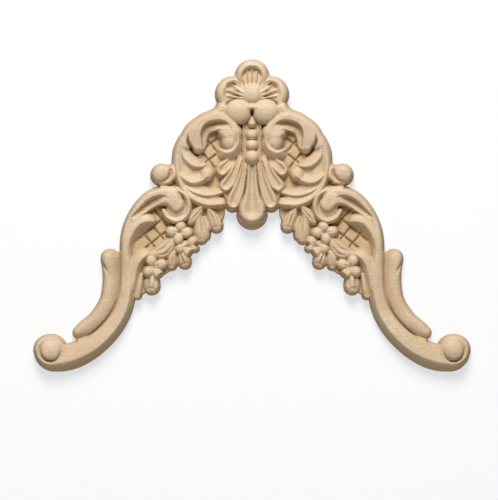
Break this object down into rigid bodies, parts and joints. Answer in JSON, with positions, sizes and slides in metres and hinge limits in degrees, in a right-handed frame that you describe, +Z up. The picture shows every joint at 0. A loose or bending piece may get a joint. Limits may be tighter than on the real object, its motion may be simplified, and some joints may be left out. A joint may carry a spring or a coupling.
{
  "type": "wooden corner onlay",
  "caption": "Symmetrical carved hardwood corner onlay: a shell and round medallion of scrolls with a fluted fan, and two S-shaped wings with flowers ending in ball scrolls. Flat back.",
  "frame": {"origin": "on the flat back face, behind the centre of the medallion", "axes": "+X across the width, +Y out of the flat back into the surface it is glued to, so the carved face looks towards -Y, +Z up towards the shell"},
  "size_m": [0.2902, 0.018, 0.2073],
  "materials": {
    "wood": "sanded bare hardwood with fine dark flecks, unfinished"
  },
  "bodies": {
    "root": {"corner_onlay": "wood"}
  },
  "joints": []
}
